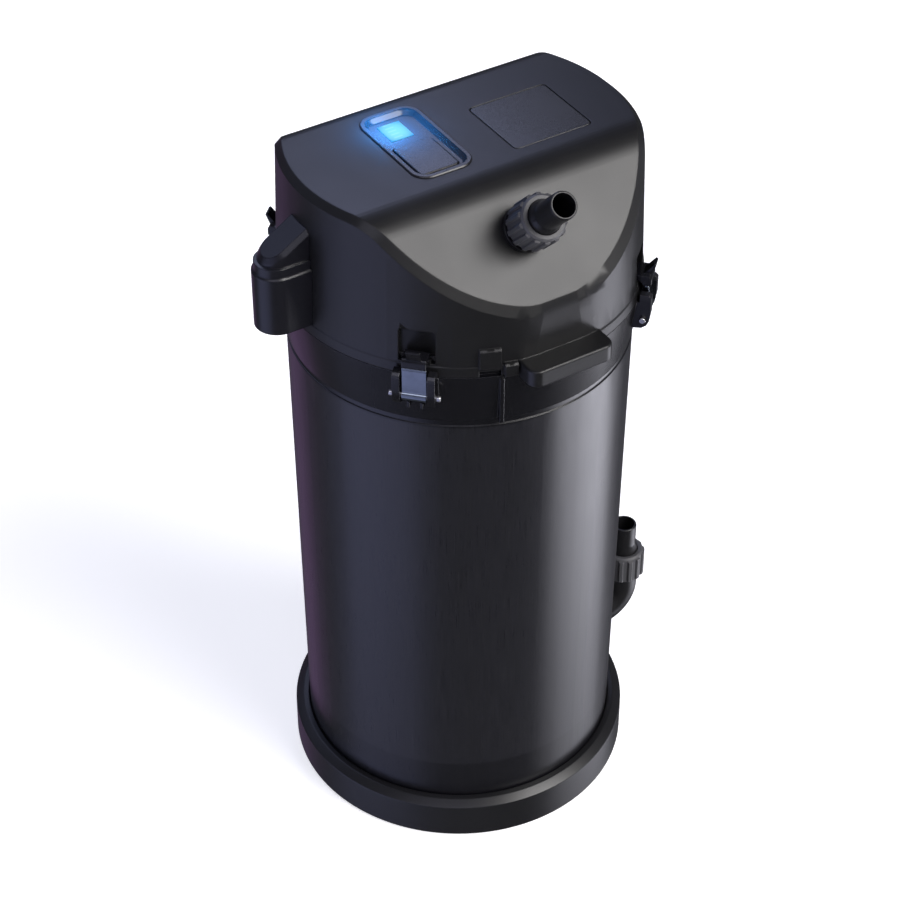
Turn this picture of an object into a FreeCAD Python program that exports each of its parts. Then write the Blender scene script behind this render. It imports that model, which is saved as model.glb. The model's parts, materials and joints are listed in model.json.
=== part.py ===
import FreeCAD, Part
import math
import os

from FreeCAD import Vector

# Canister filter, millimetres, +Z up.
# Origin: centre of the base's underside, on the surface that the filter stands on.
# The front, with the sloped outlet face and the grip, looks towards -Y.

# ---- driving dimensions -------------------------------------------------
BASE_R = 84.4            # foot ring, outside
BASE_SIDE_Z = 19.5       # top of the ring's upright side
BASE_TOP_Z = 22.3        # top of the ring's chamfer
BASE_LIP_R = 80.35       # inner end of the ring's chamfer
BASE_BORE_R = 77.2       # pocket that holds the canister
FLOOR_Z = 3.0            # top of the base's floor, under the canister

CAN_FOOT_R = 76.85       # canister outside at its foot
CAN_TOP_R = 80.0         # canister outside at the top of its straight wall
CAN_STEP_Z = 261.0       # top of the straight wall
GROOVE_Z = 259.6         # bottom of the dark shadow groove under the flare
GROOVE_TOP_Z = 262.8
GROOVE_DEPTH = 0.6
RIM_R = 84.0             # top of the flare
RIM_LOW_Z = 289.6
NECK_R = 81.6            # canister neck, inside the head's skirt
RIM_Z = 294.95           # top of the canister
SKIRT_Z = 289.9          # foot of the head's skirt
SKIRT_BORE_R = 81.8
CAN_WALL = 3.0
SEAL_BORE_R = 79.3       # cylindrical seat for the head seal
SEAL_SEAT_Z = 283.0

HEAD_Z0 = 295.0          # underside of the head shell
HEAD_R0 = 83.15          # head wall at its foot
HEAD_R1 = 81.23          # head wall under the top chamfer
HEAD_Z1 = 356.9
RIM_CHAMFER = 3.0        # round the head's top edge
TOP_Z = 361.0            # overall height
SHELL_WALL = 2.5
FRONT_FOLD_Y = -39.14    # where the front slope's plane meets the plateau
SLOPE_DEG = 44.9
FRONT_FOLD_R = 24.0
BACK_FOLD_Y = 39.14
BACK_FOLD_R = 10.0

LATCH_ANGLES = (-135.0, -45.0, 45.0, 135.0)
PIN_X = 86.5             # latch pin's distance from the axis
PIN_Z = 280.5
PIN_R = 1.5
PIN_HALF = 11.6
RUN_CLEAR = 0.06         # radial clearance of every running fit
PLATE_HALF = 5.5         # half width of the latch plate
PLATE_FACE_X = 88.1      # outer face of the latch plate

ROTOR_Y = 22.0           # the pump's axis is behind the canister's axis
WELL_R = 13.2            # rotor well, inside
WELL_WALL = 1.4
WELL_TOP_Z = 333.0
PLATE_Z = 298.0          # top of the pump plate
VOLUTE_R = 19.6
COVER_Z = 283.0          # underside of the volute wall
SHAFT_R = 1.5

OUTLET_X = -2.5          # outlet axis across the slope
OUTLET_DOWN = 24.7       # distance of the outlet axis below the fold line
OUTLET_UNION = 14.0      # spigot face above the slope
OUTLET_REACH = 26.0      # nozzle length above the spigot face
INLET_X = 102.0          # upright inlet nozzle
INLET_Z = 33.0           # inlet bore through the canister wall
INLET_UNION_Z = 64.3     # spigot face of the inlet elbow
INLET_REACH = 22.7
ELBOW_BEND_R = 14.0
BOSS_R = 10.4            # inlet boss and elbow flange
HOSE_R = 6.35            # nozzle outside radius, for 12/16 mm hose
PIPE_BORE_R = 5.2
NUT_R = 10.5             # union nut between its ribs
NUT_RIB_R = 11.5
NUT_RIBS = 14

TRAY_X = (-36.0, -5.8)   # display tray, outside of its lip
TRAY_Y = (-24.9, 31.4)
TRAY_LIP = 2.2           # width of the lip round the dish
TRAY_FLOOR_Z = 359.4     # bottom of the dish
TRAY_SLANT = 1.8         # slanted foot of the dish's wall
PANEL_X = (12.8, 53.5)   # flush cover panel
PANEL_Y = (-25.0, 14.2)
LENS_X = (-28.2, -17.2)  # display window
LENS_Y = (10.6, 23.7)
KEY_X = (-31.5, -12.0)   # adjusting key
KEY_Y = (-19.5, 5.5)
KEY_Z = 358.6            # underside of the key's cap at rest
KEY_TRAVEL = 0.8
POD_CHAMFER = 2.0        # along the cable pod's upper edges
POD_WALL = 2.6

PARTS = "parts"
Z_AXIS = Vector(0, 0, 1)


# ---- small helpers ------------------------------------------------------
def cylinder(r, z0, z1, x=0.0, y=0.0):
    return Part.makeCylinder(r, z1 - z0, Vector(x, y, z0), Z_AXIS)


def tube(r_out, r_in, z0, z1, x=0.0, y=0.0):
    return cylinder(r_out, z0, z1, x, y).cut(cylinder(r_in, z0, z1, x, y))


def box(x, y, z):
    return Part.makeBox(x[1] - x[0], y[1] - y[0], z[1] - z[0], Vector(x[0], y[0], z[0]))


def cone(r0, r1, z0, z1):
    return Part.makeCone(r0, r1, z1 - z0, Vector(0, 0, z0), Z_AXIS)


def revolved(points):
    """A solid of revolution about Z from (radius, z) points."""
    wire = Part.makePolygon([Vector(r, 0, z) for r, z in points + points[:1]])
    return Part.Face(wire).revolve(Vector(0, 0, 0), Z_AXIS, 360)


def plate_xz(points, y0, y1):
    """An (x, z) outline, thickened from y0 to y1."""
    wire = Part.makePolygon([Vector(x, y0, z) for x, z in points + points[:1]])
    return Part.Face(wire).extrude(Vector(0, y1 - y0, 0))


def rounded_block(x, y, z, r):
    """A block with its four upright edges rounded."""
    block = box(x, y, z)
    upright = [e for e in block.Edges if abs(e.BoundBox.ZLength - (z[1] - z[0])) < 1e-6]
    return block.makeFillet(r, upright)


def grown(span, by):
    return (span[0] - by, span[1] + by)


def turned(shape, degrees, centre=Vector(0, 0, 0)):
    copy = shape.copy()
    copy.rotate(centre, Z_AXIS, degrees)
    return copy


def moved(shape, x, y, z):
    copy = shape.copy()
    copy.translate(Vector(x, y, z))
    return copy


def along_outlet(shape):
    """Carry a shape from the union's own frame to the outlet on the slope."""
    copy = shape.copy()
    copy.rotate(Vector(0, 0, 0), Vector(1, 0, 0), SLOPE_DEG)
    copy.translate(outlet_point(OUTLET_UNION))
    return copy


def outlet_point(height):
    """A point on the outlet axis, at a height above the slope."""
    a = math.radians(SLOPE_DEG)
    y = FRONT_FOLD_Y - OUTLET_DOWN * math.cos(a) - height * math.sin(a)
    z = TOP_Z - OUTLET_DOWN * math.sin(a) + height * math.cos(a)
    return Vector(OUTLET_X, y, z)


def at_inlet(shape):
    return moved(shape, INLET_X, 0, INLET_UNION_Z)


def canister_bore(z):
    """Inside radius of the canister's straight wall at a height."""
    slope = (CAN_TOP_R - CAN_FOOT_R) / (CAN_STEP_Z - FLOOR_Z)
    return CAN_FOOT_R + slope * (z - FLOOR_Z) - CAN_WALL


def save(name, shape):
    shape.exportStep(os.path.join(PARTS, name + ".step"))


# ---- canister and base --------------------------------------------------
def base_ring():
    return revolved([
        (0, 0), (BASE_R - 1.0, 0), (BASE_R, 1.0), (BASE_R, BASE_SIDE_Z), (BASE_LIP_R, BASE_TOP_Z),
        (BASE_BORE_R + 0.6, BASE_TOP_Z), (BASE_BORE_R, BASE_TOP_Z - 0.6), (BASE_BORE_R, FLOOR_Z),
        (0, FLOOR_Z)])


def latch_lug(side):
    """One cheek of the bracket that carries a latch pin."""
    outline = [(80.5, 275.0), (86.0, 275.4), (88.2, 277.0), (89.3, 279.4), (90.0, 284.0),
               (90.0, 292.3), (88.8, 293.5), (84.6, 293.5), (84.6, 289.4), (81.5, 289.4)]
    low, high = (6.1, 9.6) if side > 0 else (-9.6, -6.1)
    hole = Part.makeCylinder(PIN_R, 4, Vector(PIN_X, low - 0.2, PIN_Z), Vector(0, 1, 0))
    return plate_xz(outline, low, high).cut(hole)


def canister():
    inner_foot = canister_bore(FLOOR_Z)
    wall = revolved([
        (0, FLOOR_Z), (CAN_FOOT_R - 2, FLOOR_Z), (CAN_FOOT_R, FLOOR_Z + 2), (CAN_TOP_R, GROOVE_Z),
        (CAN_TOP_R - GROOVE_DEPTH, GROOVE_Z + 0.3), (CAN_TOP_R - GROOVE_DEPTH, GROOVE_TOP_Z - 0.3),
        (CAN_TOP_R + 0.2, GROOVE_TOP_Z), (RIM_R, RIM_LOW_Z), (NECK_R, RIM_LOW_Z),
        (NECK_R, RIM_Z), (SEAL_BORE_R, RIM_Z), (SEAL_BORE_R, SEAL_SEAT_Z),
        (canister_bore(CAN_STEP_Z), CAN_STEP_Z), (inner_foot, FLOOR_Z + CAN_WALL), (0, FLOOR_Z + CAN_WALL)])
    boss = Part.makeCylinder(BOSS_R, 8.5, Vector(72.5, 0, INLET_Z), Vector(1, 0, 0))
    boss = boss.cut(cylinder(canister_bore(INLET_Z) + 0.5, 10, 60))
    body = wall.fuse(boss)
    body = body.cut(Part.makeCylinder(8.0, 20, Vector(68, 0, INLET_Z), Vector(1, 0, 0)))
    body = body.cut(Part.makeCylinder(9.6, 4, Vector(79.4, 0, INLET_Z), Vector(1, 0, 0)))
    for angle in LATCH_ANGLES:
        for side in (-1, 1):
            body = body.fuse(turned(latch_lug(side), angle))
            foot = box((80.5, 86.6), (3.0 * side - 0.6, 3.0 * side + 0.6), (273.5, 276.8))
            body = body.fuse(turned(foot, angle))
    key_rib = turned(box((79.5, 84.6), (-1.0, 1.0), (264.0, 288.0)), -109.5)
    return body.fuse(key_rib.cut(cylinder(79.6, 260, 290)))


def grid(z0, z1, hole_r, pitch):
    """A perforated support disc."""
    disc = cylinder(canister_bore(z0) - 0.1, z0, z1)
    holes = []
    reach = int(66 / pitch)
    for i in range(-reach, reach + 1):
        for j in range(-reach, reach + 1):
            x = (i + 0.5 * (j % 2)) * pitch
            y = j * pitch * 0.866
            if math.hypot(x, y) < 68 - hole_r:
                holes.append(cylinder(hole_r, z0 - 1, z1 + 1, x, y))
    return disc.cut(Part.makeCompound(holes))


def bottom_grid():
    disc = grid(43.6, 46.6, 3.2, 9.5)
    for angle in (30, 90, 150, 210, 270, 330):
        leg = turned(cylinder(3.0, FLOOR_Z + CAN_WALL, 44.0, 70.8, 0), angle)
        disc = disc.fuse(leg)
    return disc


def ceramic_rings():
    rings = []
    pitch = 17.4
    for layer in range(2):
        z0 = 46.6 + 16.4 * layer
        for i in range(-4, 5):
            for j in range(-4, 5):
                x = (i + 0.5 * (j % 2)) * pitch
                y = j * pitch * 0.866
                if math.hypot(x, y) < 65.5:
                    rings.append(tube(8.0, 4.2, z0, z0 + 16.4, x, y))
    return Part.makeCompound(rings)


def media_disc(z0, z1):
    return cylinder(canister_bore(z0) - 0.1, z0, z1)


# ---- head ---------------------------------------------------------------
def head_form(inset):
    """The head's outer form, drawn in by an inset on every outer side."""
    turned_form = revolved([
        (0, HEAD_Z0), (HEAD_R0 - inset, HEAD_Z0), (HEAD_R1 - inset, HEAD_Z1),
        (HEAD_R1 - inset, TOP_Z + 5), (0, TOP_Z + 5)])
    a = math.radians(SLOPE_DEG)
    top = TOP_Z - inset
    shift = inset * math.tan(a / 2)
    profile = []
    for sign, fold, radius in ((-1, -FRONT_FOLD_Y, FRONT_FOLD_R), (1, BACK_FOLD_Y, BACK_FOLD_R)):
        fold_y = fold - shift
        reach = radius * math.tan(a / 2)
        low = Vector(0, sign * (fold_y + 60 * math.cos(a)), top - 60 * math.sin(a))
        bend = Vector(0, sign * (fold_y + reach * math.cos(a)), top - reach * math.sin(a))
        middle = Vector(0, sign * (fold_y - reach + radius * math.sin(a / 2)),
                        top - radius * (1 - math.cos(a / 2)))
        flat = Vector(0, sign * (fold_y - reach), top)
        profile.append((low, bend, middle, flat))
    (low_f, bend_f, mid_f, flat_f), (low_b, bend_b, mid_b, flat_b) = profile
    foot_f = Vector(0, low_f.y, HEAD_Z0 - 1)
    foot_b = Vector(0, low_b.y, HEAD_Z0 - 1)
    edges = [
        Part.makeLine(foot_f, low_f), Part.makeLine(low_f, bend_f),
        Part.Arc(bend_f, mid_f, flat_f).toShape(), Part.makeLine(flat_f, flat_b),
        Part.Arc(flat_b, mid_b, bend_b).toShape(), Part.makeLine(bend_b, low_b),
        Part.makeLine(low_b, foot_b), Part.makeLine(foot_b, foot_f)]
    face = Part.Face(Part.Wire(Part.__sortEdges__(edges)))
    face.translate(Vector(-100, 0, 0))
    return turned_form.common(face.extrude(Vector(200, 0, 0)))


def rim_edges(form):
    """The edges between the head's round wall and its top surfaces."""
    found = []
    for edge in form.Edges:
        middle = edge.valueAt((edge.FirstParameter + edge.LastParameter) / 2)
        radius = math.hypot(middle.x, middle.y)
        if middle.z > HEAD_Z0 + 5 and radius > HEAD_R1 - 1.0:
            found.append(edge)
    return found


def head_outer():
    form = head_form(0.0)
    edges = rim_edges(form)
    return form.makeChamfer(RIM_CHAMFER, edges)


def grip():
    """The front grip, rounded at its outer corners and clear of the canister's flare."""
    block = box((-21.0, 22.0), (-93.0, -80.0), (288.0, 296.0))
    corners = [e for e in block.Edges
               if abs(e.BoundBox.ZLength - 8.0) < 1e-6 and e.BoundBox.YMax < -92]
    block = block.makeFillet(5.0, corners)
    tops = [e for e in block.Edges if e.BoundBox.ZMin > 295.9 and e.BoundBox.YMax < -86]
    block = block.makeFillet(1.2, tops)
    return block.cut(cylinder(RIM_R + 0.35, 280, SKIRT_Z)).cut(cylinder(SKIRT_BORE_R, SKIRT_Z, 300))


def wall_pad(r_out, angle, spread, z0, z1):
    """A raised pad that follows the head's wall."""
    sector = turned(box((60, 100), (-100, 0), (z0, z1)), angle + spread / 2)
    sector = sector.common(turned(box((60, 100), (0, 100), (z0, z1)), angle - spread / 2))
    top = cone(r_out, r_out - 0.9, z1 - 0.9, z1)
    body = cylinder(r_out, z0, z1 - 0.9).fuse(top).cut(cylinder(SKIRT_BORE_R, z0 - 1, z1 + 1))
    return body.common(sector)


def skirt():
    """The head's lower band, which covers the canister's neck."""
    return revolved([
        (SKIRT_BORE_R, SKIRT_Z), (RIM_R, SKIRT_Z), (RIM_R - 0.35, HEAD_Z0 - 0.4),
        (HEAD_R0 - 0.2, HEAD_Z0 + 0.2), (HEAD_R0 - 0.2, HEAD_Z0 + 0.8), (SKIRT_BORE_R, HEAD_Z0 + 0.8)])


def latch_recess():
    """The pocket above a latch; the hook rests on the sill at its foot."""
    pocket = box((79.6, 92.0), (-8.15, 8.15), (297.6, 312.5))
    upper = [e for e in pocket.Edges if e.BoundBox.ZMin > 312.4 and e.BoundBox.XLength > 10]
    pocket = pocket.makeFillet(1.5, upper)
    for side in (-1, 1):
        low, high = sorted((6.2 * side, 8.15 * side))
        pocket = pocket.fuse(box((79.6, 92.0), (low, high), (295.8, 299.0)))
    return pocket


def head_shell():
    outer = head_outer()
    inner = head_form(SHELL_WALL)
    shell = outer.cut(inner).fuse(skirt())
    ring = tube(HEAD_R0 - SHELL_WALL, 66.0, PLATE_Z, PLATE_Z + 3.5)
    shell = shell.fuse(ring)
    for angle in LATCH_ANGLES:
        backing = box((76.8, 82.2), (-10.5, 10.5), (PLATE_Z, 315.0))
        shell = shell.fuse(turned(backing, angle).common(cylinder(HEAD_R0 - 0.8, HEAD_Z0, 316)))
    for angle in LATCH_ANGLES:
        shell = shell.cut(turned(latch_recess(), angle))
    shell = shell.fuse(grip()).fuse(wall_pad(84.5, -113.0, 6.6, 294.0, 304.0))
    shell = shell.fuse(wall_pad(85.8, -106.8, 4.0, SKIRT_Z, 296.2))
    notch = turned(box((70, 100), (-4.8, 4.8), (288.0, 292.6)), -113.0)
    shell = shell.cut(notch)
    axis_in = outlet_point(-12)
    axis = outlet_point(1).sub(outlet_point(0))
    shell = shell.cut(Part.makeCylinder(9.2, 16, axis_in, axis))
    shell = shell.cut(rounded_block(grown(TRAY_X, -1.7), grown(TRAY_Y, -1.7), (352, 364), 6.5))
    shell = shell.cut(rounded_block(PANEL_X, PANEL_Y, (359.6, 364), 2.5))
    shell = shell.cut(Part.makeCylinder(4.0, 12, Vector(-88, 0, 312), Vector(1, 0, 0)))
    for x, y in screw_places():
        shell = shell.cut(cylinder(1.5, PLATE_Z - 1, PLATE_Z + 4, x, y))
    return shell.cut(cylinder(66.0, HEAD_Z0 - 1, PLATE_Z))


def screw_places():
    return [(71.0 * math.cos(math.radians(a)), 71.0 * math.sin(math.radians(a)))
            for a in (0, 60, 120, 180, 240, 300)]


def head_screws():
    screws = []
    for x, y in screw_places():
        head = cylinder(2.9, HEAD_Z0 - 2.2, HEAD_Z0, x, y)
        slot = box((x - 2.9, x + 2.9), (y - 0.4, y + 0.4), (HEAD_Z0 - 2.3, HEAD_Z0 - 1.2))
        screws.append(head.cut(slot).fuse(cylinder(1.5, HEAD_Z0, PLATE_Z + 3.3, x, y)))
    return Part.makeCompound(screws)


def duct(r, t0, t1):
    """A round bar on the outlet axis, between two heights above the slope."""
    start = outlet_point(t0)
    end = outlet_point(t1)
    return Part.makeCylinder(r, end.sub(start).Length, start, end.sub(start))


def head_base():
    """Pump plate: plug with seal groove, rotor well, volute and outlet duct."""
    duct_z = 290.5
    depth = (outlet_point(0).z - duct_z) / math.cos(math.radians(SLOPE_DEG))
    foot = outlet_point(-depth)
    plate = cylinder(HEAD_R0 - SHELL_WALL - 0.2, HEAD_Z0, PLATE_Z)
    plug = revolved([
        (75.5, SEAL_SEAT_Z + 1), (79.0, SEAL_SEAT_Z + 1), (79.0, 287.0), (76.6, 287.0), (76.6, 290.5),
        (79.0, 290.5), (79.0, HEAD_Z0), (75.5, HEAD_Z0)])
    well = cylinder(WELL_R + WELL_WALL, PLATE_Z - 1, WELL_TOP_Z, 0, ROTOR_Y)
    volute = cylinder(VOLUTE_R + 2.4, COVER_Z, HEAD_Z0, 0, ROTOR_Y)
    link = Part.makeCylinder(7.4, ROTOR_Y - 16 - foot.y, foot, Vector(0, 1, 0))
    body = plate.fuse(plug).fuse(well).fuse(volute)
    body = body.fuse(duct(7.4, -depth, -9.0)).fuse(Part.makeSphere(7.4, foot)).fuse(link)
    body = body.cut(cylinder(WELL_R, COVER_Z, WELL_TOP_Z - 2.0, 0, ROTOR_Y))
    body = body.cut(cylinder(VOLUTE_R, COVER_Z - 1, HEAD_Z0 - 0.5, 0, ROTOR_Y))
    body = body.cut(duct(PIPE_BORE_R, -depth, -8.0)).cut(Part.makeSphere(PIPE_BORE_R, foot))
    run = Part.makeCylinder(PIPE_BORE_R, ROTOR_Y - 8 - foot.y, foot, Vector(0, 1, 0))
    body = body.cut(run)
    for x, y in screw_places():
        body = body.cut(cylinder(1.5, HEAD_Z0 - 1, PLATE_Z + 1, x, y))
    return body


def head_seal():
    ring = tube(SEAL_BORE_R, 76.6, 287.0, 290.5)
    return ring.makeFillet(0.8, [e for e in ring.Edges if e.Curve.TypeId == "Part::GeomCircle"
                                 and e.Curve.Radius > 79])


# ---- pump ---------------------------------------------------------------
def impeller_cover():
    disc = cylinder(VOLUTE_R + 2.4, COVER_Z - 2.5, COVER_Z, 0, ROTOR_Y)
    disc = disc.cut(cylinder(9.0, COVER_Z - 3, COVER_Z + 1, 0, ROTOR_Y))
    hub = cylinder(3.6, COVER_Z - 2.5, COVER_Z, 0, ROTOR_Y)
    for angle in (90, 210, 330):
        spoke = box((0, 9.6), (ROTOR_Y - 1.0, ROTOR_Y + 1.0), (COVER_Z - 2.5, COVER_Z))
        hub = hub.fuse(turned(spoke, angle, Vector(0, ROTOR_Y, 0)))
    return disc.fuse(hub).cut(cylinder(2.6, COVER_Z - 1.8, COVER_Z + 1, 0, ROTOR_Y))


def shaft_bushes():
    low = tube(2.6, SHAFT_R, COVER_Z - 1.8, COVER_Z + 1.2, 0, ROTOR_Y)
    high = cylinder(WELL_R, WELL_TOP_Z - 5.0, WELL_TOP_Z - 2.0, 0, ROTOR_Y)
    return Part.makeCompound([low, high.cut(cylinder(SHAFT_R, 300, 340, 0, ROTOR_Y))])


def rotor_shaft():
    return cylinder(SHAFT_R, COVER_Z - 1.8, WELL_TOP_Z - 2.0, 0, ROTOR_Y)


def rotor_magnet():
    return tube(WELL_R - 0.8, SHAFT_R + RUN_CLEAR, 299.0, 327.4, 0, ROTOR_Y)


def impeller():
    disc = cylinder(VOLUTE_R - 1.6, 291.6, 293.2, 0, ROTOR_Y)
    disc = disc.fuse(cylinder(5.0, 285.0, 299.0, 0, ROTOR_Y))
    for k in range(6):
        blade = box((4.0, VOLUTE_R - 1.8), (ROTOR_Y - 0.7, ROTOR_Y + 0.7), (285.4, 292.0))
        disc = disc.fuse(turned(blade, 60 * k + 15, Vector(0, ROTOR_Y, 0)))
    return disc.cut(cylinder(SHAFT_R + RUN_CLEAR, 280, 300, 0, ROTOR_Y))


def stator_core():
    core = tube(27.0, 22.0, 303.0, 323.0, 0, ROTOR_Y)
    for k in range(6):
        tooth = box((WELL_R + 1.2, 23.0), (ROTOR_Y - 2.2, ROTOR_Y + 2.2), (303.0, 323.0))
        core = core.fuse(turned(tooth, 60 * k, Vector(0, ROTOR_Y, 0)))
    return core.cut(cylinder(WELL_R + WELL_WALL, 300, 330, 0, ROTOR_Y))


def stator_coils():
    coils = []
    for k in range(6):
        coil = rounded_block((15.6, 21.4), (ROTOR_Y - 4.6, ROTOR_Y + 4.6), (300.4, 325.6), 1.2)
        coil = coil.cut(box((15.0, 22.0), (ROTOR_Y - 2.2, ROTOR_Y + 2.2), (303.0, 323.0)))
        coils.append(turned(coil, 60 * k, Vector(0, ROTOR_Y, 0)))
    return Part.makeCompound(coils)


# ---- control panel and cable entry --------------------------------------
def control_tray():
    lip = rounded_block(TRAY_X, TRAY_Y, (TOP_Z, TOP_Z + 0.8), 8.0)
    top_edges = [e for e in lip.Edges if e.BoundBox.ZMin > TOP_Z + 0.79]
    lip = lip.makeChamfer(0.5, top_edges)
    body = rounded_block(grown(TRAY_X, -1.8), grown(TRAY_Y, -1.8), (356.0, TOP_Z), 6.4)
    tray = lip.fuse(body)
    dish = rounded_block(grown(TRAY_X, -TRAY_LIP), grown(TRAY_Y, -TRAY_LIP), (TRAY_FLOOR_Z, 364.0), 6.0)
    foot_edges = [e for e in dish.Edges if e.BoundBox.ZMax < TRAY_FLOOR_Z + 0.01]
    tray = tray.cut(dish.makeChamfer(TRAY_SLANT, foot_edges))
    key_floor = KEY_Z - KEY_TRAVEL - 0.2
    tray = tray.cut(rounded_block(grown(KEY_X, 0.4), grown(KEY_Y, 0.4), (key_floor, 360.0), 2.4))
    tray = tray.cut(box(LENS_X, LENS_Y, (355.0, 361.0)))
    tray = tray.cut(cylinder(2.4, 355.0, 359.0, *key_centre()))
    for x in (TRAY_X[0] + 4.5, TRAY_X[1] - 4.5):
        for y in (TRAY_Y[0] + 4.5, TRAY_Y[1] - 4.5):
            tray = tray.fuse(cylinder(2.0, 346.6, 357.0, x, y))
    return tray


def key_centre():
    return (KEY_X[0] + KEY_X[1]) / 2, (KEY_Y[0] + KEY_Y[1]) / 2


def control_key():
    cap = rounded_block(KEY_X, KEY_Y, (KEY_Z, TRAY_FLOOR_Z + 0.7), 2.0)
    cap = cap.makeChamfer(0.4, [e for e in cap.Edges if e.BoundBox.ZMin > TRAY_FLOOR_Z + 0.6])
    return cap.fuse(cylinder(2.0, 352.4, 359.0, *key_centre()))


def display_lens():
    return box(LENS_X, LENS_Y, (353.2, TRAY_FLOOR_Z + 0.4))


def display_board():
    board = box((TRAY_X[0] + 7.0, TRAY_X[1] - 7.0), (LENS_Y[0] - 1, LENS_Y[1] + 1), (351.6, 353.2))
    return board.fuse(box((-27.0, -20.0), (11.0, 20.0), (346.6, 351.8)))


def control_board():
    board = box((-48.0, 0.0), (-26.0, 32.0), (345.0, 346.6))
    x, y = key_centre()
    board = board.fuse(box((x - 3.0, x + 3.0), (y - 3.0, y + 3.0), (346.4, 350.8)))
    board = board.fuse(box((-46.0, -38.0), (-20.0, -6.0), (346.4, 351.0)))
    return board.fuse(box((-46.0, -39.0), (8.0, 24.0), (346.4, 349.0)))


def top_panel():
    panel = rounded_block(grown(PANEL_X, -0.35), grown(PANEL_Y, -0.35), (359.6, TOP_Z), 2.2)
    return panel.makeChamfer(0.25, [e for e in panel.Edges if e.BoundBox.ZMin > TOP_Z - 0.01])


def stadium(half, end_x, z0, z1):
    """A block from the head wall outwards along -X with a half-round end."""
    return box((end_x, -70.0), (-half, half), (z0, z1)).fuse(cylinder(half, z0, z1, end_x, 0))


def chamfered(shape, size, z_low):
    """Chamfer the outline of the face that lies wholly above z_low."""
    outline = [e for e in shape.Edges if e.BoundBox.ZMin > z_low and e.BoundBox.XMin < -71]
    return shape.makeChamfer(size, outline)


def pod_form(inset, edge):
    """The pod's three stacked blocks; edge is the chamfer round the block and round the slanted top."""
    low_top = 325.5 - inset / 2
    low = stadium(10.5 - inset, -94.2, HEAD_Z0 + inset, low_top).removeSplitter()
    shoulder = stadium(9.4 - inset, -94.2, 320.0, 328.6 - inset)
    high = stadium(8.5 - inset, -93.2, 320.0, 356.0).removeSplitter()
    rise = math.tan(math.radians(31.5))
    wedge = Part.Face(Part.makePolygon([Vector(x, -12, z) for x, z in (
        (-110, 300), (-110, 331.0 - inset - 8.3 * rise), (-70, 331.0 - inset + 31.7 * rise), (-70, 300),
        (-110, 300))])).extrude(Vector(0, 24, 0))
    high = high.common(wedge)
    if edge > 0:
        low = chamfered(low, edge, low_top - 0.01)
        high = chamfered(high, edge, 330.0)
    return low.fuse(shoulder).fuse(high)


def cable_pod():
    pod = pod_form(0.0, POD_CHAMFER).cut(pod_form(POD_WALL, 0.0))
    pod = pod.cut(cone(HEAD_R0, HEAD_R1, HEAD_Z0, HEAD_Z1))
    return pod.cut(cylinder(4.6, HEAD_Z0 - 1, HEAD_Z0 + 5, -94.2, 0))


def cable_gland():
    flange = cylinder(6.4, HEAD_Z0 - 2.0, HEAD_Z0, -94.2, 0)
    stem = cylinder(4.6, HEAD_Z0 - 2.0, HEAD_Z0 + 6.0, -94.2, 0)
    return flange.fuse(stem).cut(cylinder(3.3, HEAD_Z0 - 3, HEAD_Z0 + 8, -94.2, 0))


# ---- hose unions, built about a spigot face at z = 0 --------------------
def union_nut():
    nut = cylinder(NUT_R, -9.5, 6.2)
    nut = nut.makeChamfer(0.9, [e for e in nut.Edges if e.BoundBox.ZMin > 6.1])
    for k in range(NUT_RIBS):
        rib = box((NUT_R - 1.0, NUT_RIB_R), (-1.25, 1.25), (-9.2, 4.6))
        rib = rib.makeChamfer(0.45, [e for e in rib.Edges if e.BoundBox.XMin > NUT_RIB_R - 0.01])
        nut = nut.fuse(turned(rib, 360.0 * k / NUT_RIBS))
    return nut.cut(cylinder(9.55, -10, 4.3)).cut(cylinder(7.95, 4, 7))


def union_seal():
    return tube(8.4, 6.0, 0.0, 1.5)


def nozzle(reach):
    body = revolved([
        (PIPE_BORE_R, 1.5), (9.2, 1.5), (9.2, 4.0), (7.6, 4.0), (7.6, 7.0), (HOSE_R, 11.0),
        (HOSE_R, reach - 0.5), (HOSE_R - 0.5, reach), (PIPE_BORE_R, reach)])
    return body


def spigot(length):
    """Threaded end of a socket, with its crests as plain ridges."""
    points = [(PIPE_BORE_R, -length), (8.7, -length), (8.7, -8.0)]
    for k in range(4):
        z = -8.0 + 1.8 * k
        points += [(9.2, z + 0.4), (9.2, z + 0.9), (8.7, z + 1.3)]
    points += [(8.7, 0.0), (PIPE_BORE_R, 0.0)]
    return revolved(points)


def outlet_socket():
    body = spigot(OUTLET_UNION + 9.0)
    flange = tube(10.8, PIPE_BORE_R, -OUTLET_UNION, -OUTLET_UNION + 2.4)
    return along_outlet(body.fuse(flange))


def inlet_elbow():
    bend_z = INLET_Z + ELBOW_BEND_R
    start_x = INLET_X - ELBOW_BEND_R
    spigot_foot = INLET_UNION_Z - 10.5
    pieces = []
    for r, x0, z1 in ((8.0, 73.8, spigot_foot), (PIPE_BORE_R, 70.0, INLET_UNION_Z + 1.0)):
        circle = Part.makeCircle(r, Vector(start_x, 0, INLET_Z), Vector(1, 0, 0))
        bend = Part.Face(Part.Wire(circle)).revolve(Vector(start_x, 0, bend_z), Vector(0, -1, 0), 90)
        level = Part.makeCylinder(r, start_x - x0, Vector(x0, 0, INLET_Z), Vector(1, 0, 0))
        upright = cylinder(r, bend_z, z1, INLET_X, 0)
        pieces.append((level, bend, upright))
    flange = Part.makeCylinder(BOSS_R, 2.2, Vector(81.0, 0, INLET_Z), Vector(1, 0, 0))
    outer, inner = pieces
    body = flange.multiFuse(list(outer)).fuse(at_inlet(spigot(10.5)))
    for bore in inner:
        body = body.cut(bore)
    return body.removeSplitter()


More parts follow.
